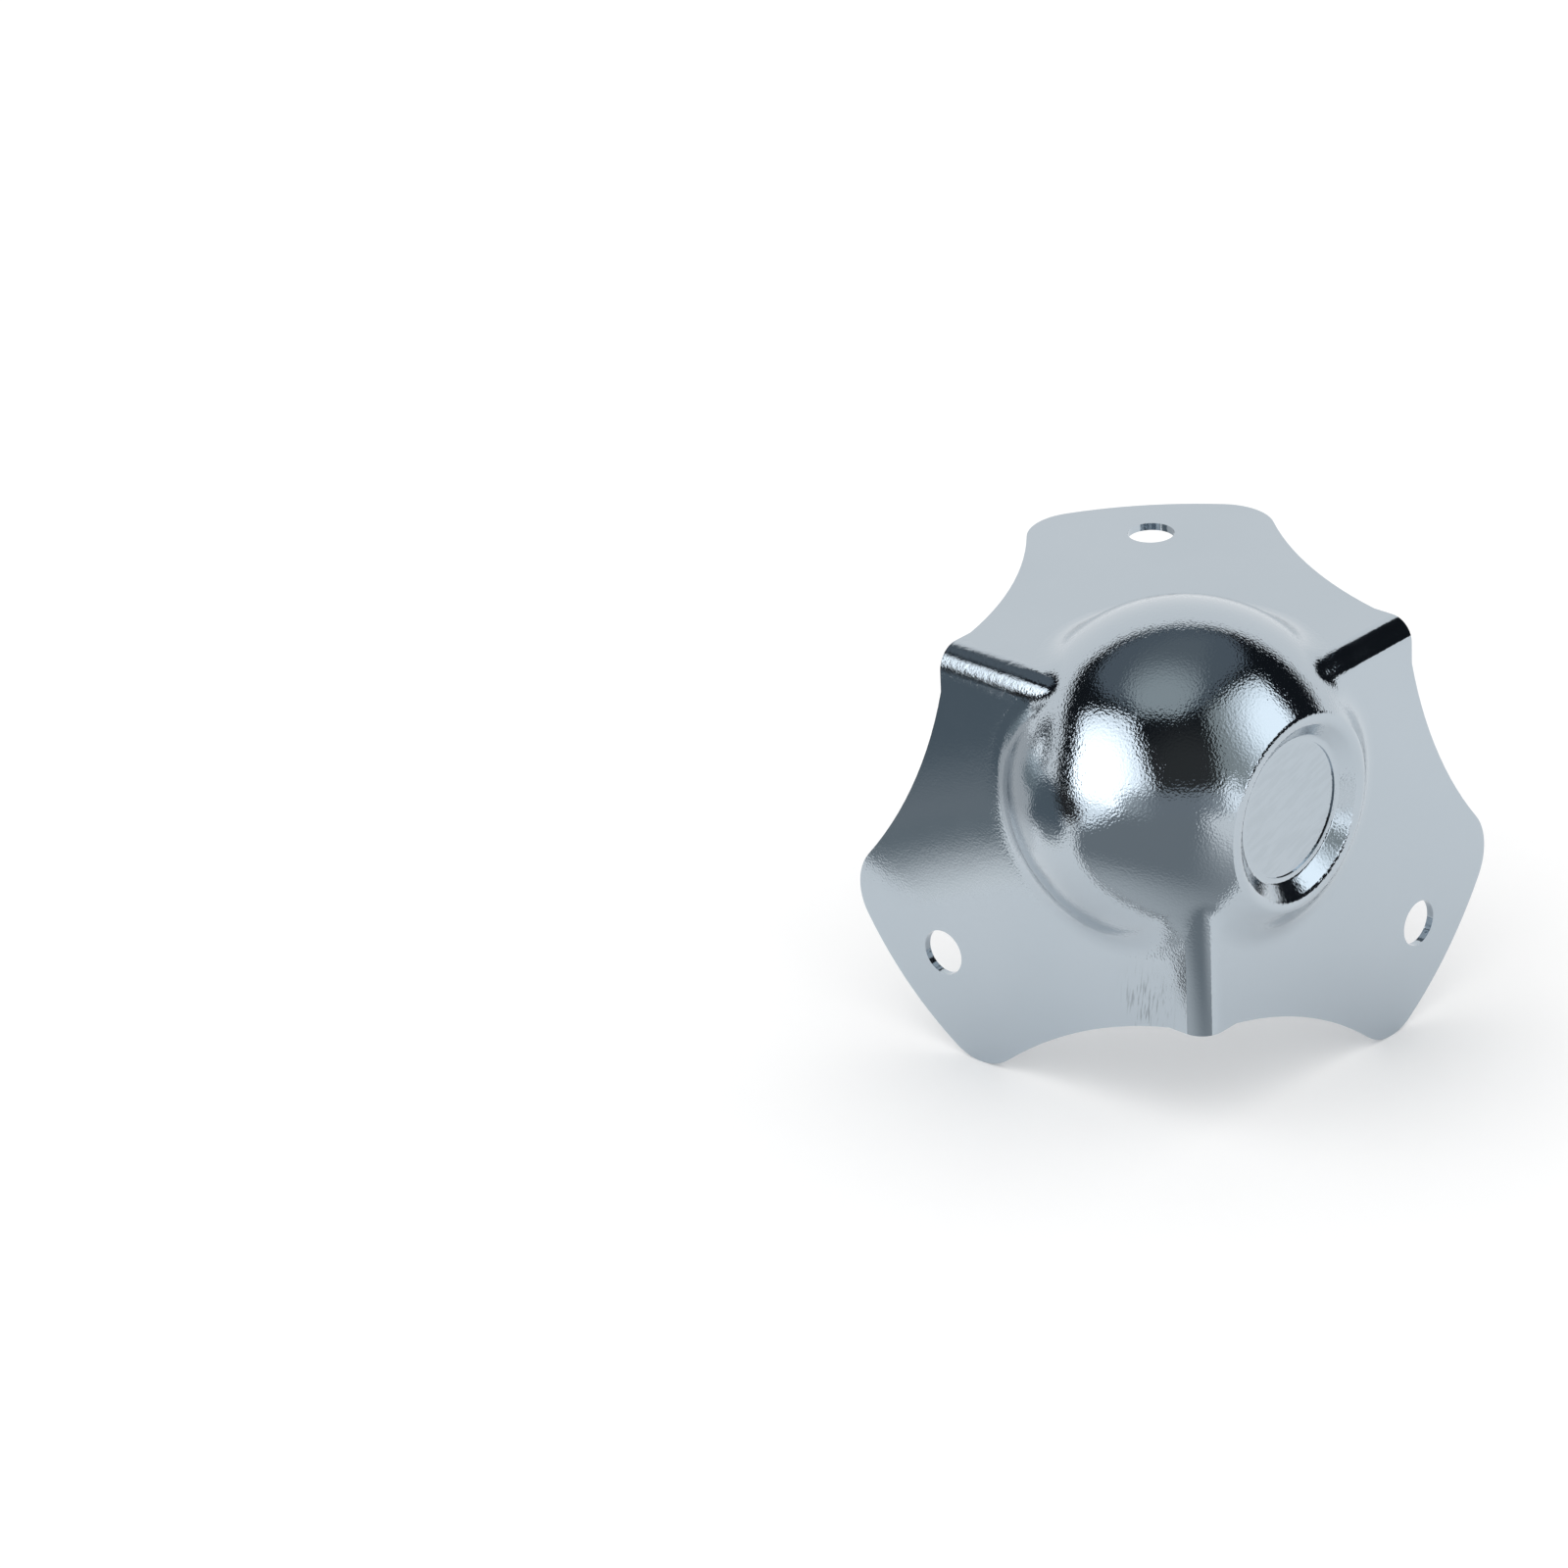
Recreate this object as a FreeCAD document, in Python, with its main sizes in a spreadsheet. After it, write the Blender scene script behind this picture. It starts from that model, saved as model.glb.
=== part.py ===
import FreeCAD, Part
import math
import os
import Sketcher

# Flight case corner with a ball and a stacking dish, pressed from one piece of sheet steel.
# Lengths are millimetres and angles degrees.
# The origin is the point where the three faces of the case would meet. The corner covers the
# case's +X, -Y and +Z faces, so its flanges run away from the origin to -X, +Y and -Z.
# Two solid forms, the outside and the inside of the sheet, come from the same functions, and
# the inside form is cut from the outside one, so that the sheet keeps one thickness.

os.makedirs("parts", exist_ok=True)

Vector = FreeCAD.Vector
Rotation = FreeCAD.Rotation
Placement = FreeCAD.Placement
Constraint = Sketcher.Constraint

SIZES = {
    "sheet_thickness": 0.8,
    # Folds between the flanges, with their length from the case's corner point
    "fold_inner_radius": 1.7,
    "fold_length": 33.7,
    "fold_tab_half_width": 4.1,
    # Flange outline: hollow sides, and a broad tip struck from the ball's axis
    "side_radius": 53.4,
    "side_centre_drop": 8.05,
    "tip_radius": 38.9,
    "tip_corner_radius": 6.0,
    # Rivet holes, as far from one edge of the case as from the other
    "hole_diameter": 5.0,
    "hole_setback": 34.6,
    # Ball, standing as far out of each of the three faces of the case, and the cove round it
    "ball_radius": 18.6,
    "ball_rise": 6.4,
    "cove_radius": 4.5,
    # Dish for the ball of a case stacked on this one, in the ball's +X side
    "dish_floor_height": 1.7,
    "dish_floor_radius": 7.6,
    "dish_foot_radius": 0.6,
    "dish_wall_angle": 38.0,
    "dish_rim_inner_radius": 0.4,
    # Shallow coined disc on the dish's floor
    "coin_radius": 7.3,
    "coin_depth": 0.15,
    # Room round the finished part in the solids that it is cut from
    "trim_margin": 6.0,
}

# The part is the same seen along each of its three flanges, turned about this line.
DIAGONAL = Vector(1, -1, 1)
FLANGE_COUNT = 3
# The ball's centre is this far inside each face of the case, so a ball of another radius
# still covers the folds where they meet.
BALL_SETBACK = "(Sheet.ball_radius - Sheet.ball_rise)"
# The block is wider and deeper than any flange reaches.
BLOCK_SIDE = "(%s + Sheet.tip_radius + Sheet.trim_margin)" % BALL_SETBACK
ON_SURFACE = 0.001

doc = FreeCAD.newDocument("flight_case_corner")


def make_sheet():
    """The spreadsheet that holds each driving dimension under its alias."""
    sheet = doc.addObject("Spreadsheet::Sheet", "Sheet")
    for row, (alias, value) in enumerate(SIZES.items(), start=1):
        sheet.set("A%d" % row, alias)
        sheet.set("B%d" % row, str(value))
        sheet.setAlias("B%d" % row, alias)
    doc.recompute()
    return sheet


def add_sketch(body, name):
    """A sketch on the body's own XY plane, placed by its attachment offset."""
    sketch = body.newObject("Sketcher::SketchObject", body.Name + "_" + name)
    plane = next(o for o in body.Origin.OriginFeatures if o.Role == "XY_Plane")
    sketch.AttachmentSupport = (plane, [""])
    sketch.MapMode = "FlatFace"
    return sketch


def number(sketch, expression):
    """The value that an expression on the sheet has now."""
    return float(sketch.evalExpression(expression))


def pin(sketch, geometry, point, x, y):
    """Hold a point of the sketch at x, y, each an expression or None."""
    for kind, expression in (("DistanceX", x), ("DistanceY", y)):
        if expression is not None:
            value = number(sketch, expression)
            index = sketch.addConstraint(Constraint(kind, -1, 1, geometry, point, value))
            sketch.setExpression("Constraints[%d]" % index, expression)


def hold_radius(sketch, geometry, expression):
    """Hold the radius of an arc or circle at an expression."""
    index = sketch.addConstraint(Constraint("Radius", geometry, number(sketch, expression)))
    sketch.setExpression("Constraints[%d]" % index, expression)


def close_loop(sketch, pieces, smooth=()):
    """Join (geometry, start point, end point) pieces, tangent where the second is in smooth."""
    for (first, _, end), (second, start, _) in zip(pieces, pieces[1:] + pieces[:1]):
        kind = "Tangent" if second in smooth else "Coincident"
        sketch.addConstraint(Constraint(kind, first, end, second, start))


def add_polygon(sketch, corners):
    """A closed polygon through corners given as pairs of expressions."""
    points = [Vector(number(sketch, x), number(sketch, y), 0) for x, y in corners]
    pieces = []
    for start, end in zip(points, points[1:] + points[:1]):
        pieces.append((sketch.addGeometry(Part.LineSegment(start, end)), 1, 2))
    close_loop(sketch, pieces)
    for (geometry, start, _), (x, y) in zip(pieces, corners):
        pin(sketch, geometry, start, x, y)


def add_feature(body, kind, name, **settings):
    """A feature of the body with the settings given by keyword."""
    feature = body.newObject("PartDesign::" + kind, body.Name + "_" + name)
    for key, value in settings.items():
        setattr(feature, key, value)
    return feature


def recompute_cut(feature, before):
    """Recompute a cutting feature and check that it removed material."""
    doc.recompute()
    if feature.Shape.isNull() or feature.Shape.Volume >= before.Volume:
        raise RuntimeError(feature.Name + " cut nothing")


def edge_names(shape, wanted):
    """Names of the edges of a shape that pass a test."""
    edges = enumerate(shape.Edges, start=1)
    return ["Edge%d" % i for i, edge in edges if not edge.Degenerated and wanted(edge)]


def samples(edge):
    """Points spread evenly along an edge, its ends included."""
    steps = 4
    span = edge.LastParameter - edge.FirstParameter
    return [edge.valueAt(edge.FirstParameter + span * k / steps) for k in range(steps + 1)]


def add_fillet(body, name, base, names, radius):
    """Round the named edges of the feature before."""
    if not names:
        raise RuntimeError(name + " found no edges")
    fillet = add_feature(body, "Fillet", name, Base=(base, names))
    fillet.setExpression("Radius", radius)
    doc.recompute()
    return fillet


def add_block(body, face):
    """The block whose near faces are the flanges, each as far out as face says."""
    far = BLOCK_SIDE
    sketch = add_sketch(body, "block_sketch")
    sketch.setExpression("AttachmentOffset.Base.z", face)
    near = "-(%s)" % face
    add_polygon(sketch, [(face, near), (face, far), ("-" + far, far), ("-" + far, near)])
    block = add_feature(body, "Pad", "block", Profile=sketch, Reversed=True)
    block.setExpression("Length", far)
    doc.recompute()
    corner = Vector(number(sketch, face), number(sketch, near), number(sketch, face))

    def meets_corner(edge):
        return any(v.Point.distanceToPoint(corner) < ON_SURFACE for v in edge.Vertexes)

    return block, edge_names(block.Shape, meets_corner)


def cut_tip(body):
    """Cut the block's corner off square to the diagonal, where the ball takes its place."""
    sketch = add_sketch(body, "tip_sketch")
    level = BALL_SETBACK + " / 3"
    sketch.AttachmentOffset = Placement(Vector(), Rotation(Vector(0, 0, 1), DIAGONAL))
    sketch.setExpression("AttachmentOffset.Base.x", "-" + level)
    sketch.setExpression("AttachmentOffset.Base.y", level)
    sketch.setExpression("AttachmentOffset.Base.z", "-" + level)
    radius = number(sketch, BLOCK_SIDE)
    circle = sketch.addGeometry(Part.Circle(Vector(), Vector(0, 0, 1), radius))
    sketch.addConstraint(Constraint("Coincident", circle, 3, -1, 1))
    hold_radius(sketch, circle, BLOCK_SIDE)
    before = body.Tip.Shape
    pocket = add_feature(body, "Pocket", "tip", Profile=sketch, Reversed=True)
    pocket.setExpression("Length", BLOCK_SIDE)
    recompute_cut(pocket, before)
    return sketch


def add_ball(body, radius):
    """The ball, with its poles on the diagonal."""
    ball = add_feature(body, "AdditiveSphere", "ball")
    ball.Placement = Placement(Vector(), Rotation(Vector(0, 0, 1), DIAGONAL))
    ball.setExpression("Placement.Base.x", "-" + BALL_SETBACK)
    ball.setExpression("Placement.Base.y", BALL_SETBACK)
    ball.setExpression("Placement.Base.z", "-" + BALL_SETBACK)
    ball.setExpression("Radius", radius)
    doc.recompute()
    centre = ball.Placement.Base
    reach = ball.Radius.Value

    def on_ball(point):
        return abs(point.distanceToPoint(centre) - reach) < ON_SURFACE

    def leaves_ball(edge):
        faces = ball.Shape.ancestorsOfType(edge, Part.Face)
        kinds = {face.Surface.TypeId for face in faces}
        return len(kinds) > 1 and all(on_ball(p) for p in samples(edge))

    return ball, edge_names(ball.Shape, leaves_ball)


def cut_dish(body, inset, coined):
    """Turn the dish out of the ball, about an axis along X through the ball's centre."""
    axis = BALL_SETBACK
    floor = "(Sheet.dish_floor_height - %s)" % inset
    foot = "(Sheet.dish_foot_radius + %s)" % inset
    foot_y = "(%s + Sheet.dish_floor_radius)" % axis
    wall_x = "(%s + %s * (1 - cos(Sheet.dish_wall_angle)))" % (floor, foot)
    wall_y = "(%s + %s * sin(Sheet.dish_wall_angle))" % (foot_y, foot)
    mouth = "Sheet.ball_radius"
    mouth_y = "(%s + (%s - %s) / tan(Sheet.dish_wall_angle))" % (wall_y, mouth, wall_x)
    corners = [(floor, axis)]
    if coined:
        sunk = "(%s - Sheet.coin_depth)" % floor
        coin_y = "(%s + Sheet.coin_radius)" % axis
        corners = [(sunk, axis), (sunk, coin_y), (floor, coin_y)]
    corners += [(floor, foot_y), (wall_x, wall_y), (mouth, mouth_y), (mouth, axis)]
    arc_from = corners.index((floor, foot_y))
    sketch = add_sketch(body, "dish_sketch")
    sketch.setExpression("AttachmentOffset.Base.z", "-" + BALL_SETBACK)
    points = [Vector(number(sketch, x), number(sketch, y), 0) for x, y in corners]
    pieces = []
    for index, (start, end) in enumerate(zip(points, points[1:] + points[:1])):
        if index == arc_from:
            radius = number(sketch, foot)
            circle = Part.Circle(start + Vector(radius, 0, 0), Vector(0, 0, 1), radius)
            sweep = math.radians(number(sketch, "Sheet.dish_wall_angle"))
            arc = sketch.addGeometry(Part.ArcOfCircle(circle, math.pi - sweep, math.pi))
            pieces.append((arc, 2, 1))
        else:
            pieces.append((sketch.addGeometry(Part.LineSegment(start, end)), 1, 2))
    close_loop(sketch, pieces)
    for (geometry, start, _), (x, y) in zip(pieces, corners):
        pin(sketch, geometry, start, x, y)
    hold_radius(sketch, pieces[arc_from][0], foot)
    axis_y = number(sketch, axis)
    axis_end = Vector(number(sketch, mouth), axis_y, 0)
    line = sketch.addGeometry(Part.LineSegment(Vector(0, axis_y, 0), axis_end), True)
    pin(sketch, line, 1, "0", axis)
    pin(sketch, line, 2, mouth, axis)
    before = body.Tip.Shape
    groove = add_feature(body, "Groove", "dish", Profile=sketch, Angle=360)
    groove.ReferenceAxis = (sketch, ["Axis0"])
    recompute_cut(groove, before)
    wall = number(sketch, wall_y) - axis_y
    depth = number(sketch, axis)

    def on_rim(edge):
        radii = [math.hypot(p.y - depth, p.z + depth) for p in samples(edge)]
        level = min(p.x for p in samples(edge)) > number(sketch, wall_x) + ON_SURFACE
        return level and min(radii) > wall and max(radii) - min(radii) < ON_SURFACE

    return groove, edge_names(groove.Shape, on_rim)


def make_form(name, face, inset, coined):
    """One side of the sheet as a solid: block, folds, ball, cove and dish."""
    body = doc.addObject("PartDesign::Body", name)
    block, folds = add_block(body, face)
    add_fillet(body, "folds", block, folds, "Sheet.fold_inner_radius + " + face)
    tip_sketch = cut_tip(body)
    ball, junction = add_ball(body, "Sheet.ball_radius - " + inset)
    add_fillet(body, "cove", ball, junction, "Sheet.cove_radius + " + inset)
    dish, rim = cut_dish(body, inset, coined)
    add_fillet(body, "rim", dish, rim, "Sheet.dish_rim_inner_radius + " + face)
    return body, tip_sketch


def draw_outline(body):
    """The waste outside one flange: its edge on the inside, a far square on the outside."""
    sketch = add_sketch(body, "trim_sketch")
    sketch.setExpression("AttachmentOffset.Base.z", "Sheet.sheet_thickness")
    centre = number(sketch, BALL_SETBACK)
    length = number(sketch, "Sheet.fold_length")
    tab = number(sketch, "Sheet.fold_tab_half_width")
    drop = number(sketch, "Sheet.side_centre_drop")
    side = number(sketch, "Sheet.side_radius")
    tip = number(sketch, "Sheet.tip_radius")
    corner = number(sketch, "Sheet.tip_corner_radius")
    margin = number(sketch, "Sheet.trim_margin")
    far = number(sketch, BLOCK_SIDE) + margin

    # Half of the outline, with u and v counted from the case's edges along the flange
    side_u = length + math.sqrt(side**2 - (tab + drop) ** 2)
    gap = math.hypot(side_u - centre, centre + drop)
    reach = tip - corner
    along = (reach**2 - (side + corner) ** 2 + gap**2) / (2 * gap)
    across = math.sqrt(reach**2 - along**2)
    to_side = math.atan2(-drop - centre, side_u - centre)
    turn = to_side + math.atan2(across, along)
    corner_u = centre + reach * math.cos(turn)
    corner_v = centre + reach * math.sin(turn)

    def arc(u, v, radius, first, last, mirrored):
        """A counter-clockwise arc between two angles of the u, v plane."""
        if mirrored:
            u, v = v, u
            first, last = math.pi / 2 - last, math.pi / 2 - first
        circle = Part.Circle(Vector(-u, v, 0), Vector(0, 0, 1), radius)
        return sketch.addGeometry(Part.ArcOfCircle(circle, math.pi - last, math.pi - first))

    def line(start, end):
        first = Vector(-start[0], start[1], 0)
        last = Vector(-end[0], end[1], 0)
        return sketch.addGeometry(Part.LineSegment(first, last))

    start_angle = math.atan2(tab + drop, length - side_u)
    touch_angle = math.atan2(corner_v + drop, corner_u - side_u)
    outward = math.atan2(-drop - corner_v, side_u - corner_u)
    fold_end = line((length, -margin), (length, tab))
    near_side = arc(side_u, -drop, side, touch_angle, start_angle, False)
    near_corner = arc(corner_u, corner_v, corner, outward, turn, False)
    tip_arc = arc(centre, centre, tip, turn, math.pi / 2 - turn, False)
    far_corner = arc(corner_u, corner_v, corner, outward, turn, True)
    far_side = arc(side_u, -drop, side, touch_angle, start_angle, True)
    other_end = line((tab, length), (-margin, length))
    frame = [line((-margin, length), (-margin, far)), line((-margin, far), (far, far))]
    frame += [line((far, far), (far, -margin)), line((far, -margin), (length, -margin))]

    pieces = [(fold_end, 1, 2), (near_side, 1, 2), (near_corner, 2, 1), (tip_arc, 2, 1)]
    pieces += [(far_corner, 2, 1), (far_side, 1, 2), (other_end, 1, 2)]
    pieces += [(edge, 1, 2) for edge in frame]
    return sketch, pieces


def trim_flanges(body, tip_sketch):
    """Cut the outline and rivet hole of the top flange, and repeat them on the other two."""
    sketch, pieces = draw_outline(body)
    fold_end, near_side, near_corner, tip_arc, far_corner, far_side, other_end = [
        geometry for geometry, _, _ in pieces[:7]
    ]
    frame = [geometry for geometry, _, _ in pieces[7:]]
    close_loop(sketch, pieces, smooth=(near_corner, tip_arc, far_corner, far_side))
    far = "(%s + Sheet.trim_margin)" % BLOCK_SIDE
    hold_radius(sketch, near_side, "Sheet.side_radius")
    hold_radius(sketch, far_side, "Sheet.side_radius")
    pin(sketch, fold_end, 1, "-Sheet.fold_length", "-Sheet.trim_margin")
    pin(sketch, near_side, 1, "-Sheet.fold_length", "Sheet.fold_tab_half_width")
    pin(sketch, near_side, 3, None, "-Sheet.side_centre_drop")
    pin(sketch, far_side, 3, "Sheet.side_centre_drop", None)
    pin(sketch, far_side, 2, "-Sheet.fold_tab_half_width", "Sheet.fold_length")
    hold_radius(sketch, near_corner, "Sheet.tip_corner_radius")
    hold_radius(sketch, far_corner, "Sheet.tip_corner_radius")
    pin(sketch, tip_arc, 3, "-" + BALL_SETBACK, BALL_SETBACK)
    hold_radius(sketch, tip_arc, "Sheet.tip_radius")
    pin(sketch, frame[0], 1, "Sheet.trim_margin", "Sheet.fold_length")
    pin(sketch, frame[1], 1, "Sheet.trim_margin", far)
    pin(sketch, frame[2], 1, "-" + far, far)
    pin(sketch, frame[3], 1, "-" + far, "-Sheet.trim_margin")
    depth = "Sheet.sheet_thickness + Sheet.fold_inner_radius"
    before = body.Tip.Shape
    trim = add_feature(body, "Pocket", "trim", Profile=sketch)
    trim.setExpression("Length", depth)
    recompute_cut(trim, before)

    hole_sketch = add_sketch(body, "hole_sketch")
    hole_sketch.setExpression("AttachmentOffset.Base.z", "Sheet.sheet_thickness")
    setback = number(hole_sketch, "Sheet.hole_setback")
    centre = Vector(-setback, setback, 0)
    radius = number(hole_sketch, "Sheet.hole_diameter / 2")
    circle = hole_sketch.addGeometry(Part.Circle(centre, Vector(0, 0, 1), radius))
    pin(hole_sketch, circle, 3, "-Sheet.hole_setback", "Sheet.hole_setback")
    hold_radius(hole_sketch, circle, "Sheet.hole_diameter / 2")
    before = body.Tip.Shape
    hole = add_feature(body, "Pocket", "hole", Profile=hole_sketch)
    hole.setExpression("Length", depth)
    recompute_cut(hole, before)

    before = body.Tip.Shape
    pattern = add_feature(body, "PolarPattern", "flanges", Originals=[trim, hole])
    pattern.Axis = (tip_sketch, ["N_Axis"])
    pattern.Angle = 360
    pattern.Occurrences = FLANGE_COUNT
    body.Tip = pattern
    recompute_cut(pattern, before)


sheet = make_sheet()
outside, outside_tip = make_form("outside", "Sheet.sheet_thickness", "0", True)
inside, _ = make_form("inside", "0", "Sheet.sheet_thickness", False)
trim_flanges(outside, outside_tip)

shell = doc.addObject("Part::Cut", "corner_shell")
shell.Base = outside
shell.Tool = inside
shell.Placement = Placement(Vector(), Rotation())
doc.recompute()

for item in doc.Objects:
    if "Invalid" in item.State or "Error" in item.State:
        raise RuntimeError("%s failed: %s" % (item.Name, item.State))

solid = shell.Shape
if solid.isNull() or not solid.isValid() or len(solid.Solids) != 1:
    raise RuntimeError("%s is not one valid solid" % shell.Label)
solid.exportStep("parts/%s.step" % shell.Label)
box = solid.optimalBoundingBox()
print(shell.Label, "volume %.1f mm3" % solid.Volume)
print("x %.2f to %.2f" % (box.XMin, box.XMax))
print("y %.2f to %.2f" % (box.YMin, box.YMax))
print("z %.2f to %.2f" % (box.ZMin, box.ZMax))
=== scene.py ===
import math

import bpy
from mathutils import Matrix, Vector


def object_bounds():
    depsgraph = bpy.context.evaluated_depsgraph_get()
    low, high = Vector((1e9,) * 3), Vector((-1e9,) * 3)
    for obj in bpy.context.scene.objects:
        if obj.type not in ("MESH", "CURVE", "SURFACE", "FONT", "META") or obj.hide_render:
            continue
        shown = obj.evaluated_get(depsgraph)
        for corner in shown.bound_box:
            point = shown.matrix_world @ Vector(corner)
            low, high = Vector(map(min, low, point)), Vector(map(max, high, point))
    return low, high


# Flight case corner in bright plated steel, with the studio that its metal mirrors.
# Lengths are metres and angles degrees, in the frame of the CAD model.

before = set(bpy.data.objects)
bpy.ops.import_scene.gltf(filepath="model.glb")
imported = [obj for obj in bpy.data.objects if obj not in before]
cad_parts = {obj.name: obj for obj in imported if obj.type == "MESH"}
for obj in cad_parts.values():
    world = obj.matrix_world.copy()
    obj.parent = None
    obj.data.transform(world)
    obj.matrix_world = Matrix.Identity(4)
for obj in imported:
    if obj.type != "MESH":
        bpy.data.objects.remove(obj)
scene = bpy.context.scene
cad_low, cad_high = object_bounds()
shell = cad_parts["corner_shell"]

# Places and sizes on the part, as in the CAD model
BALL_CENTRE = Vector((-0.0122, 0.0122, -0.0122))
BALL_RADIUS = 0.0186
BALL_POLE = BALL_CENTRE + BALL_RADIUS * Vector((1, -1, 1)).normalized()
DISH_FLOOR = (0.00155, BALL_CENTRE.y, BALL_CENTRE.z)
COIN_RADIUS = 0.0073
LEFT_FOLD = (0, 0, 0)
PULL_PLACE = Vector((-0.0068, -0.0008, -0.0318))

# Distances at which a local finish starts to fade and at which it ends
COIN_FADE = (0.93 * COIN_RADIUS, COIN_RADIUS)
PULL_FADE = (0.0012, 0.0046)
BALL_FADE = (0.0196, 0.0210)
FOLD_FADE = (0.0020, 0.0034)
POLE_FADE = (0.0014, 0.0022)
OUTER_FACE = (BALL_RADIUS - 0.0004, BALL_RADIUS - 0.0002)

# How much each axis counts in those distances
EVEN = (1, 1, 1)
COIN_WEIGHTS = (12, 1, 1)
PULL_WEIGHTS = (1, 1, 0.9)
FOLD_WEIGHTS = (0, 1, 1)

# Tones of the plated steel
BASE_DARK = (0.438, 0.498, 0.548)
BASE_LIGHT = (0.473, 0.528, 0.578)
SCRATCH_TONE = (0.36, 0.41, 0.45)
SCRATCH_SHARE = 0.25
MARK_TONE = (0.10, 0.11, 0.12)
MARK_SHARE = 0.45
ROUGHNESS = (0.065, 0.105)

# Noise scales of the finish, from wide to fine
TONE_SCALE = 60.0
SMUDGE_SCALE = 180.0
WAVE_SCALE = 420.0
CRUMPLE_SCALE = 1500.0
SCRATCH_SCALE = 2200.0
MARK_SCALE = 3800.0
GRAIN_SCALE = 4000.0

# Heights of its bumps, and how much of the grain is lost off the ball
WAVE_HEIGHT = 0.00002
WAVE_STRENGTH = 0.35
GRAIN_HEIGHT = 0.000022
GRAIN_LOSS = 0.75
CRUMPLE_HEIGHT = 0.00005
SCRATCH_HEIGHT = 0.00002
MARK_HEIGHT = 0.00002

# Camera
CAMERA_PLACE = Vector((0.450841, -0.547802, 0.342565))
CAMERA_RIGHT = Vector((0.74585, 0.66491, -0.03993))
CAMERA_UP = Vector((-0.26523, 0.35144, 0.89786))
CAMERA_BACK = Vector((0.61103, -0.65908, 0.43847))
LENS_MM = 180.2
SENSOR_MM = 36.0
NEAREST_VIEW = 0.01

# Floor
FLOOR_HALF = 4.0
FLOOR_CORNERS = [(-1, -1), (1, -1), (1, 1), (-1, 1)]
FLOOR_DARK = (0.93, 0.93, 0.93)
FLOOR_LIGHT = (0.95, 0.95, 0.95)
FLOOR_SCALE = 30.0
FLOOR_GLOW = 0.08

# The dark room is a cap of rings about the line of sight.
DOME_DISTANCE = 1.6
DOME_REACH = 109.0
DOME_RINGS = 24
DOME_SIDES = 64

# Studio cards are placed by azimuth from +X and elevation, seen from the ball.
CARD_DISTANCE = 1.2
CARD_CORE = 0.3
SOFTBOX_LEFT = [
    (-146, 33), (-129, 46), (-104, 52), (-86, 38), (-74, 23), (-69, 15), (-90, 8), (-91, -3),
    (-120, -3), (-127, 6), (-132, 21),
]
SOFTBOX_RIGHT = [
    (-21, 62), (45, 58), (60, 48), (51, 40), (42, 20), (17, 14), (-8, -2), (-23, -2),
    (-27, 14), (-24, 37),
]
SOFTBOX_FOOT = [(-25, -2), (-26, 13), (-12, 22), (8, 20), (10, 8), (-4, -2)]
CEILING = [
    (-169, 41), (170, 43), (131, 46), (100, 45), (75, 52), (51, 63), (-21, 66), (-60, 61),
    (-99, 56), (-119, 54), (-150, 46),
]
CEILING_PATCH = [
    (-99, 57), (-54, 62), (-10, 74), (60, 78), (108, 56), (131, 58), (175, 60), (-140, 58),
]
FRONT_RAMP = [(-92, 7), (-69, 14), (-28, 14), (-25, -3), (-60, -3), (-92, -3)]
LEFT_WHITE = [
    (-139, -2), (-140, 6), (-146, 17), (-163, 25), (178, 30), (172, 17), (-170, 15), (-150, 12),
    (-149, -2),
]
LEFT_DARK = [(-170, -2), (-169, 8), (-160, 13), (-151, 10), (-150, -2)]

# Cards lying on the floor, as x and y, each in a layer so that they don't meet
SHEET_LIFT = 0.0006
# Width of the painted shadow line along the front sheet's near edge
SHADOW_LINE_WIDTH = 0.0006
SHEET_MIDDLE = (-0.020, -0.010, cad_low.z)
FRONT_EDGE = [
    (0.0010, -0.0022), (-0.0068, -0.0108), (-0.0115, -0.0168), (-0.0215, -0.0252),
    (-0.0325, -0.0375), (-0.0425, -0.0490),
]
# The front sheet is painted shade: the floor in front of the part in shade, as the metal mirrors
# it.
FRONT_SHADE_SHEET = FRONT_EDGE + [
    (-0.058, -0.078), (-0.075, -0.130), (-0.150, -0.330), (-0.150, -1.200), (1.200, -1.200),
    (1.200, -0.300), (0.140, -0.030), (0.060, -0.006), (0.020, -0.001),
]
SLATE_EDGE = [
    (-0.0564, -0.0225), (-0.0533, -0.0293), (-0.0486, -0.0358), (-0.0624, -0.0481),
    (-0.0694, -0.0385), (-0.0739, -0.0286),
]
SLATE_SHEET = [
    (-0.071, -0.0275), (-0.0601, -0.0461), (-0.060, -0.062), (-0.120, -0.120), (-0.500, -0.560),
    (-0.700, -0.420), (-0.160, -0.060), (-0.085, -0.020),
]
LEFT_DARK_SHEET = [
    (-0.120, -0.043), (-0.125, -0.056), (-0.700, -0.385), (-1.050, -0.590), (-1.186, -0.237),
    (-0.160, -0.020),
]
LEFT_SHEET = [
    (-0.058, -0.006), (-0.074, -0.022), (-0.120, -0.043), (-0.160, -0.020), (-1.186, -0.237),
    (-1.186, 0.400), (-0.200, 0.120), (-0.060, 0.030),
]
BLACK_SHEET = [
    (-0.064, -0.086), (-0.092, -0.172), (-0.255, -0.400), (-0.660, -0.950), (-0.880, -0.800),
    (-0.190, -0.165), (-0.090, -0.092),
]
SHINE_SHEET = [
    (-0.067, -0.102), (-0.056, -0.131), (-0.047, -0.386), (-0.033, -1.188), (-0.640, -1.010),
    (-0.250, -0.412), (-0.092, -0.176),
]

# The front sheet's painted shade turns white toward its right side.
WHITE_SIDE = {
    "colour": (1, 1, 1),
    "toward": (0.643, 0.766, 0),
    "across": (-0.010, 0.040),
    "away": (0.0, 0.110),
}


def new_material(name):
    """A material with its emptied node tree and a new output."""
    material = bpy.data.materials.new(name)
    material.use_nodes = True
    tree = material.node_tree
    tree.nodes.clear()
    return material, tree, tree.nodes.new("ShaderNodeOutputMaterial")


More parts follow.
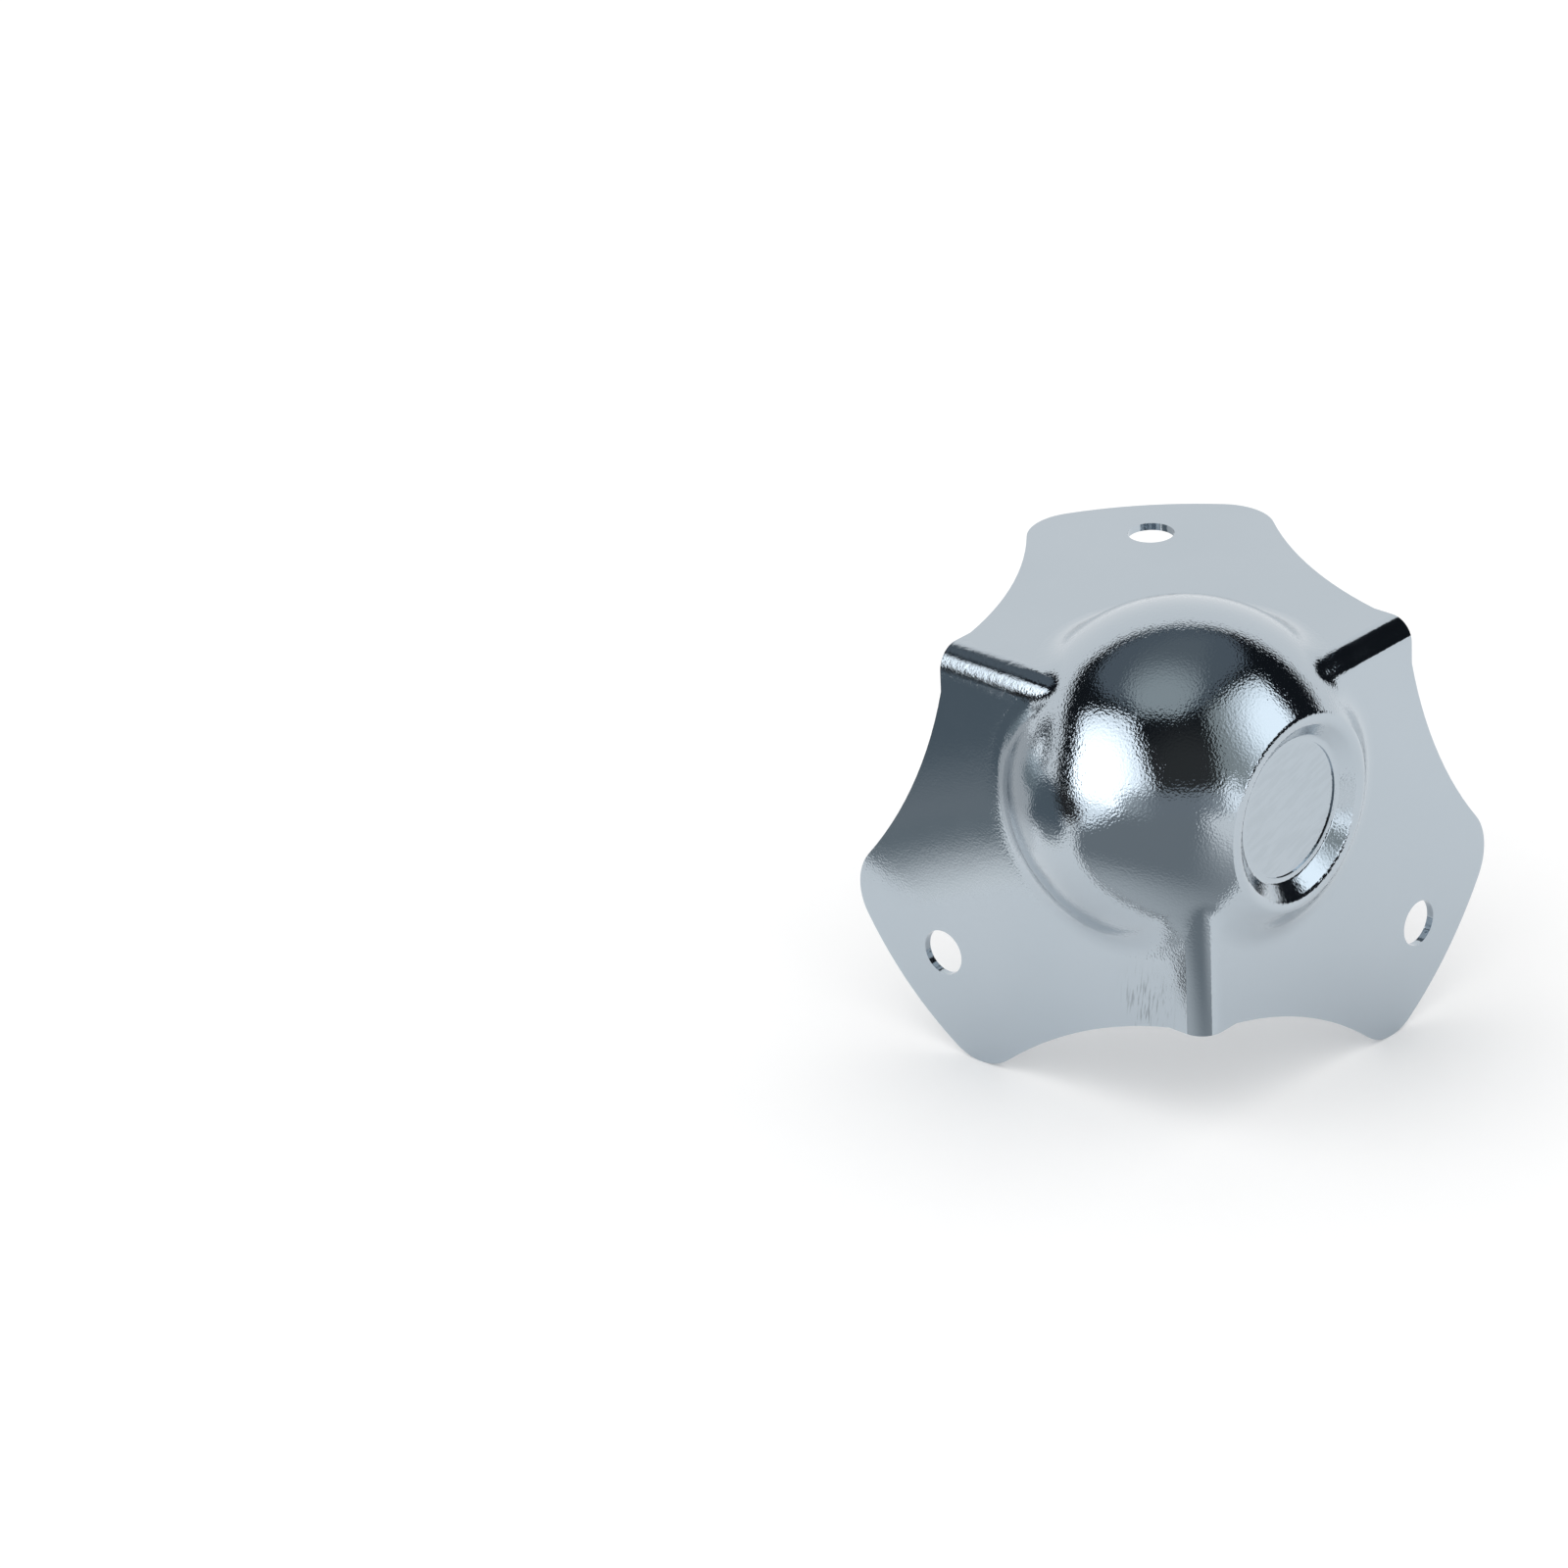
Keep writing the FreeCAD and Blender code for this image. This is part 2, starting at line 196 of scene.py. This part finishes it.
def feed(tree, socket, value):
    """Link a socket to another, or set its own value."""
    if isinstance(value, bpy.types.NodeSocket):
        tree.links.new(value, socket)
    else:
        socket.default_value = value


def object_place(tree):
    """The place of a shaded point, in metres."""
    return tree.nodes.new("ShaderNodeTexCoord").outputs["Object"]


def math_node(tree, operation, *values):
    """The result of a math node on sockets or numbers."""
    node = tree.nodes.new("ShaderNodeMath")
    node.operation = operation
    for socket, value in zip(node.inputs, values):
        feed(tree, socket, value)
    return node.outputs[0]


def vector_node(tree, operation, *values):
    """A vector math node on sockets or vectors."""
    node = tree.nodes.new("ShaderNodeVectorMath")
    node.operation = operation
    for socket, value in zip(node.inputs, values):
        feed(tree, socket, value)
    return node


def noise(tree, vector, scale, detail, roughness=0.5):
    """The grey value of a noise texture."""
    node = tree.nodes.new("ShaderNodeTexNoise")
    node.inputs["Scale"].default_value = scale
    node.inputs["Detail"].default_value = detail
    node.inputs["Roughness"].default_value = roughness
    tree.links.new(vector, node.inputs["Vector"])
    return node.outputs["Fac"]


def ramp(tree, value, low, high, to_low=0.0, to_high=1.0):
    """A smooth map from low..high to to_low..to_high."""
    node = tree.nodes.new("ShaderNodeMapRange")
    node.interpolation_type = "SMOOTHSTEP"
    feed(tree, node.inputs["Value"], value)
    feed(tree, node.inputs["From Min"], low)
    feed(tree, node.inputs["From Max"], high)
    feed(tree, node.inputs["To Min"], to_low)
    feed(tree, node.inputs["To Max"], to_high)
    return node.outputs["Result"]


def near(tree, place, centre, fade, weights=EVEN):
    """1 near a point and 0 away from it, with each axis counted by its weight."""
    shift = vector_node(tree, "SUBTRACT", place, centre)
    weighted = vector_node(tree, "MULTIPLY", shift.outputs[0], weights)
    length = vector_node(tree, "LENGTH", weighted.outputs[0])
    return ramp(tree, length.outputs["Value"], *fade, 1.0, 0.0)


def strokes(tree, place, turn, stretch, scale):
    """Noise drawn out into strokes by a turn in degrees and a stretch along each axis."""
    mapping = tree.nodes.new("ShaderNodeMapping")
    mapping.vector_type = "TEXTURE"
    mapping.inputs["Rotation"].default_value = [math.radians(angle) for angle in turn]
    mapping.inputs["Scale"].default_value = stretch
    tree.links.new(place, mapping.inputs["Vector"])
    return noise(tree, mapping.outputs[0], scale, 3.0)


def bump(tree, height, distance, strength, below):
    """The normal of a bump on top of the normal below it."""
    node = tree.nodes.new("ShaderNodeBump")
    feed(tree, node.inputs["Height"], height)
    feed(tree, node.inputs["Distance"], distance)
    feed(tree, node.inputs["Strength"], strength)
    feed(tree, node.inputs["Normal"], below)
    return node.outputs["Normal"]


def blend(tree, factor, first, second):
    """A mix of two colours, each a socket or three numbers."""
    node = tree.nodes.new("ShaderNodeMix")
    node.data_type = "RGBA"
    feed(tree, node.inputs["Factor"], factor)
    for name, colour in (("A", first), ("B", second)):
        value = (*colour, 1.0) if isinstance(colour, tuple) else colour
        feed(tree, node.inputs[name], value)
    return node.outputs["Result"]


def ball_normal(tree, place):
    """The surface's normal, taken from the sphere where the three parts of the ball meet."""
    ray = vector_node(tree, "SUBTRACT", place, BALL_CENTRE).outputs[0]
    length = vector_node(tree, "LENGTH", ray).outputs["Value"]
    outside = ramp(tree, length, *OUTER_FACE)
    at_pole = near(tree, place, BALL_POLE, POLE_FADE)
    mix = tree.nodes.new("ShaderNodeMix")
    mix.data_type = "VECTOR"
    feed(tree, mix.inputs["Factor"], math_node(tree, "MULTIPLY", outside, at_pole))
    feed(tree, mix.inputs["A"], tree.nodes.new("ShaderNodeNewGeometry").outputs["Normal"])
    feed(tree, mix.inputs["B"], vector_node(tree, "NORMALIZE", ray).outputs[0])
    return mix.outputs["Result"]


def plated_steel():
    """Bright plating over pressed sheet: fine grain, slight waves, scratches and draw marks."""
    material, tree, output = new_material("plated_steel")
    place = object_place(tree)
    metal = tree.nodes.new("ShaderNodeBsdfPrincipled")
    metal.inputs["Metallic"].default_value = 1.0

    dish = near(tree, place, DISH_FLOOR, COIN_FADE, COIN_WEIGHTS)
    pull = near(tree, place, PULL_PLACE, PULL_FADE, PULL_WEIGHTS)
    off_ball = math_node(tree, "SUBTRACT", 1.0, near(tree, place, BALL_CENTRE, BALL_FADE))
    at_fold = near(tree, place, LEFT_FOLD, FOLD_FADE, FOLD_WEIGHTS)
    fold = math_node(tree, "MULTIPLY", at_fold, off_ball)

    scratches = strokes(tree, place, (15, 0, 0), (1, 6, 1), SCRATCH_SCALE)
    marks = strokes(tree, place, (0, 8, 0), (1, 1, 11), MARK_SCALE)
    worn = math_node(tree, "MULTIPLY", ramp(tree, scratches, 0.38, 0.62), dish)
    drawn = math_node(tree, "MULTIPLY", ramp(tree, marks, 0.52, 0.64), pull)

    tone = blend(tree, noise(tree, place, TONE_SCALE, 3.0), BASE_DARK, BASE_LIGHT)
    tone = blend(tree, math_node(tree, "MULTIPLY", worn, SCRATCH_SHARE), tone, SCRATCH_TONE)
    tone = blend(tree, math_node(tree, "MULTIPLY", drawn, MARK_SHARE), tone, MARK_TONE)
    tree.links.new(tone, metal.inputs["Base Color"])
    smudge = noise(tree, place, SMUDGE_SCALE, 4.0, 0.6)
    tree.links.new(ramp(tree, smudge, 0.35, 0.7, *ROUGHNESS), metal.inputs["Roughness"])

    waves = noise(tree, place, WAVE_SCALE, 2.0)
    grain = noise(tree, place, GRAIN_SCALE, 1.0)
    grain_strength = math_node(tree, "MULTIPLY_ADD", off_ball, -GRAIN_LOSS, 1.0)
    crumple = noise(tree, place, CRUMPLE_SCALE, 4.0, 0.7)
    normal = bump(tree, waves, WAVE_HEIGHT, WAVE_STRENGTH, ball_normal(tree, place))
    normal = bump(tree, grain, GRAIN_HEIGHT, grain_strength, normal)
    normal = bump(tree, crumple, CRUMPLE_HEIGHT, fold, normal)
    normal = bump(tree, scratches, SCRATCH_HEIGHT, dish, normal)
    normal = bump(tree, marks, MARK_HEIGHT, pull, normal)
    tree.links.new(normal, metal.inputs["Normal"])
    tree.links.new(metal.outputs[0], output.inputs["Surface"])
    return material


def glow_material(name, near_colour, far_colour, centre, fade, side=None):
    """A light whose shade changes with the distance from a point, and to one side if asked."""
    material, tree, output = new_material(name)
    place = object_place(tree)
    away = vector_node(tree, "DISTANCE", place, centre).outputs["Value"]
    colour = blend(tree, ramp(tree, away, *fade), near_colour, far_colour)
    if side:
        across = vector_node(tree, "DOT_PRODUCT", place, side["toward"]).outputs["Value"]
        share = math_node(
            tree, "MULTIPLY", ramp(tree, across, *side["across"]), ramp(tree, away, *side["away"])
        )
        colour = blend(tree, share, colour, side["colour"])
    light = tree.nodes.new("ShaderNodeEmission")
    tree.links.new(colour, light.inputs["Color"])
    tree.links.new(light.outputs[0], output.inputs["Surface"])
    return material


def sheet_glow(name, near_colour, far_colour, fade, side=None):
    """The light of a floor sheet, which changes with the distance from the part's foot."""
    return glow_material(name, near_colour, far_colour, SHEET_MIDDLE, fade, side)


def floor_material():
    """Pale paint that also glows a little where the camera or the metal sees it."""
    material, tree, output = new_material("pale_floor")
    paint = tree.nodes.new("ShaderNodeBsdfDiffuse")
    speckle = noise(tree, object_place(tree), FLOOR_SCALE, 2.0)
    tree.links.new(blend(tree, speckle, FLOOR_DARK, FLOOR_LIGHT), paint.inputs["Color"])
    rays = tree.nodes.new("ShaderNodeLightPath").outputs
    seen = math_node(tree, "MAXIMUM", rays["Is Camera Ray"], rays["Is Glossy Ray"])
    glow = tree.nodes.new("ShaderNodeEmission")
    tree.links.new(math_node(tree, "MULTIPLY", seen, FLOOR_GLOW), glow.inputs["Strength"])
    both = tree.nodes.new("ShaderNodeAddShader")
    tree.links.new(paint.outputs[0], both.inputs[0])
    tree.links.new(glow.outputs[0], both.inputs[1])
    tree.links.new(both.outputs[0], output.inputs["Surface"])
    return material


def add_mesh(name, points, faces, material):
    """A mesh object of the stage."""
    mesh = bpy.data.meshes.new(name)
    mesh.from_pydata([tuple(point) for point in points], [], faces)
    mesh.materials.append(material)
    made = bpy.data.objects.new(name, mesh)
    scene.collection.objects.link(made)
    return made


def mirrored_only(made):
    """Let only the metal see this, so that it neither shows nor shades the floor."""
    made.visible_camera = False
    made.visible_diffuse = False
    made.visible_shadow = False
    made.visible_transmission = False


def add_floor():
    """The plain floor under the part."""
    points = [(x * FLOOR_HALF, y * FLOOR_HALF, cad_low.z) for x, y in FLOOR_CORNERS]
    add_mesh("floor", points, [(0, 1, 2, 3)], floor_material())


def add_dome():
    """The dark room round the camera."""
    points = [BALL_CENTRE + CAMERA_BACK * DOME_DISTANCE]
    for ring in range(1, DOME_RINGS + 1):
        angle = math.radians(DOME_REACH * ring / DOME_RINGS)
        for side in range(DOME_SIDES):
            turn = 2 * math.pi * side / DOME_SIDES
            across = CAMERA_RIGHT * math.cos(turn) + CAMERA_UP * math.sin(turn)
            ray = CAMERA_BACK * math.cos(angle) + across * math.sin(angle)
            points.append(BALL_CENTRE + ray * DOME_DISTANCE)
    faces = [(0, 1 + side, 1 + (side + 1) % DOME_SIDES) for side in range(DOME_SIDES)]
    for ring in range(DOME_RINGS - 1):
        inner = 1 + ring * DOME_SIDES
        outer = inner + DOME_SIDES
        for side in range(DOME_SIDES):
            after = (side + 1) % DOME_SIDES
            faces.append((inner + side, outer + side, outer + after, inner + after))
    dark = glow_material(
        "dark_room", (0.042, 0.043, 0.043), (0.010, 0.012, 0.015), points[0], (0.3, 1.2)
    )
    mirrored_only(add_mesh("dark_room", points, faces, dark))


def toward(azimuth, elevation, distance):
    """The point in a direction from the ball."""
    turn = math.radians(azimuth)
    rise = math.radians(elevation)
    flat = distance * math.cos(rise)
    step = Vector((flat * math.cos(turn), flat * math.sin(turn), distance * math.sin(rise)))
    return BALL_CENTRE + step


def add_card(name, corners, aim, reach, middle_colour, edge_colour, depth=1.0):
    """A card fanned out round the part, with its light centred on the direction aim."""
    distance = CARD_DISTANCE * depth
    points = [toward(azimuth, elevation, distance) for azimuth, elevation in corners]
    middle = sum((point - BALL_CENTRE for point in points), Vector()).normalized() * distance
    points.append(BALL_CENTRE + middle)
    hub = len(corners)
    faces = [(i, (i + 1) % hub, hub) for i in range(hub)]
    fade = (reach * CARD_CORE, reach)
    glow = glow_material(name, middle_colour, edge_colour, toward(*aim, distance), fade)
    mirrored_only(add_mesh(name, points, faces, glow))


def add_cards():
    """The softboxes, the ceiling and the cards at the front and the left."""
    add_card(
        "softbox_left", SOFTBOX_LEFT, aim=(-112, 14), reach=0.9,
        middle_colour=(2.35, 2.4, 2.45), edge_colour=(0.86, 0.91, 0.95),
    )
    add_card(
        "softbox_right", SOFTBOX_RIGHT, aim=(32, 32), reach=0.80,
        middle_colour=(1.58, 1.66, 1.72), edge_colour=(0.36, 0.39, 0.39),
    )
    add_card(
        "softbox_foot", SOFTBOX_FOOT, aim=(0, 12), reach=0.6, depth=0.95,
        middle_colour=(1.7, 1.75, 1.8), edge_colour=(0.95, 0.98, 1.0),
    )
    add_card(
        "ceiling", CEILING, aim=(-100, 80), reach=1.0, depth=1.15,
        middle_colour=(0.135, 0.16, 0.18), edge_colour=(0.13, 0.155, 0.18),
    )
    add_card(
        "ceiling_patch", CEILING_PATCH, aim=(-84, 69), reach=0.78,
        middle_colour=(0.43, 0.47, 0.48), edge_colour=(0.16, 0.185, 0.205),
    )
    add_card(
        "front_ramp", FRONT_RAMP, aim=(-54, 5), reach=0.80,
        middle_colour=(0.25, 0.275, 0.30), edge_colour=(0.60, 0.64, 0.66),
    )
    add_card(
        "left_white", LEFT_WHITE, aim=(-150, 10), reach=1.0,
        middle_colour=(1.0, 1.0, 1.0), edge_colour=(1.0, 1.0, 1.0),
    )
    add_card(
        "left_dark", LEFT_DARK, aim=(-160, 2), reach=0.14, depth=0.9,
        middle_colour=(1.4, 1.4, 1.4), edge_colour=(0.06, 0.07, 0.08),
    )


def add_floor_sheet(name, corners, layer, glow):
    """A card lying just over the floor that only the metal sees."""
    points = [(x, y, cad_low.z + layer * SHEET_LIFT) for x, y in corners]
    mirrored_only(add_mesh(name, points, [tuple(range(len(corners)))], glow))


def add_floor_sheets():
    """The sheets that the flanges and the ball's lower half mirror."""
    # Painted shade of the floor in front of the part, grey near its foot and darker further off.
    front = sheet_glow(
        "front_shade_sheet", (0.60, 0.62, 0.63), (0.25, 0.275, 0.295), (0.012, 0.048), WHITE_SIDE
    )
    add_floor_sheet("front_shade_sheet", FRONT_SHADE_SHEET, 1, front)
    slate = sheet_glow("slate_sheet", (0.24, 0.265, 0.285), (0.13, 0.16, 0.185), (0.060, 0.078))
    add_floor_sheet("slate_sheet", SLATE_SHEET, 2, slate)
    edge = sheet_glow("slate_edge", (1.03, 1.03, 1.02), (0.22, 0.25, 0.27), (0.0385, 0.0535))
    add_floor_sheet("slate_edge", SLATE_EDGE, 3, edge)
    left_dark = sheet_glow("left_dark_sheet", (0.22, 0.26, 0.28), (0.60, 0.66, 0.69), (0.15, 0.48))
    add_floor_sheet("left_dark_sheet", LEFT_DARK_SHEET, 2, left_dark)
    left = sheet_glow("left_sheet", (0.85, 0.86, 0.87), (0.56, 0.57, 0.58), (0.042, 0.075))
    add_floor_sheet("left_sheet", LEFT_SHEET, 1, left)
    shine = sheet_glow("shine_sheet", (1.3, 1.35, 1.4), (1.3, 1.35, 1.4), (0.1, 1.0))
    add_floor_sheet("shine_sheet", SHINE_SHEET, 2, shine)
    black = sheet_glow("black_sheet", (0.03, 0.03, 0.03), (0.015, 0.015, 0.015), (0.1, 1.0))
    add_floor_sheet("black_sheet", BLACK_SHEET, 3, black)
    # A thin black strip along the front sheet's near edge is a painted shadow line for the metal
    # to mirror.
    shadow_line = FRONT_EDGE + [(x - SHADOW_LINE_WIDTH, y + SHADOW_LINE_WIDTH) for x, y in reversed(FRONT_EDGE)]
    add_floor_sheet("front_shadow_line", shadow_line, 3, black)


def add_lamp(name, place, size, power):
    """A soft lamp that lights the floor, aimed at the ball."""
    data = bpy.data.lights.new(name, "AREA")
    data.size = size
    data.energy = power
    lamp = bpy.data.objects.new(name, data)
    lamp.location = place
    lamp.rotation_euler = (BALL_CENTRE - Vector(place)).to_track_quat("-Z", "Y").to_euler()
    lamp.visible_glossy = False
    scene.collection.objects.link(lamp)


def light_world():
    """Plain white surroundings."""
    world = bpy.data.worlds.new("studio")
    world.use_nodes = True
    background = world.node_tree.nodes["Background"]
    background.inputs["Color"].default_value = (1.0, 1.0, 1.0, 1.0)
    background.inputs["Strength"].default_value = 1.0
    scene.world = world


def place_camera():
    """The camera that took the photograph, worked out from the part's holes and folds."""
    data = bpy.data.cameras.new("camera")
    data.lens = LENS_MM
    data.sensor_width = SENSOR_MM
    data.clip_start = NEAREST_VIEW
    camera = bpy.data.objects.new("camera", data)
    turn = Matrix((CAMERA_RIGHT, CAMERA_UP, CAMERA_BACK)).transposed().to_4x4()
    camera.matrix_world = Matrix.Translation(CAMERA_PLACE) @ turn
    scene.collection.objects.link(camera)
    scene.camera = camera


shell.data.materials.clear()
shell.data.materials.append(plated_steel())

add_floor()
add_dome()
add_cards()
add_floor_sheets()
add_lamp("key", place=(-0.5, -0.7, 1.3), size=1.0, power=2.0)
light_world()
place_camera()

scene.view_settings.view_transform = "Standard"
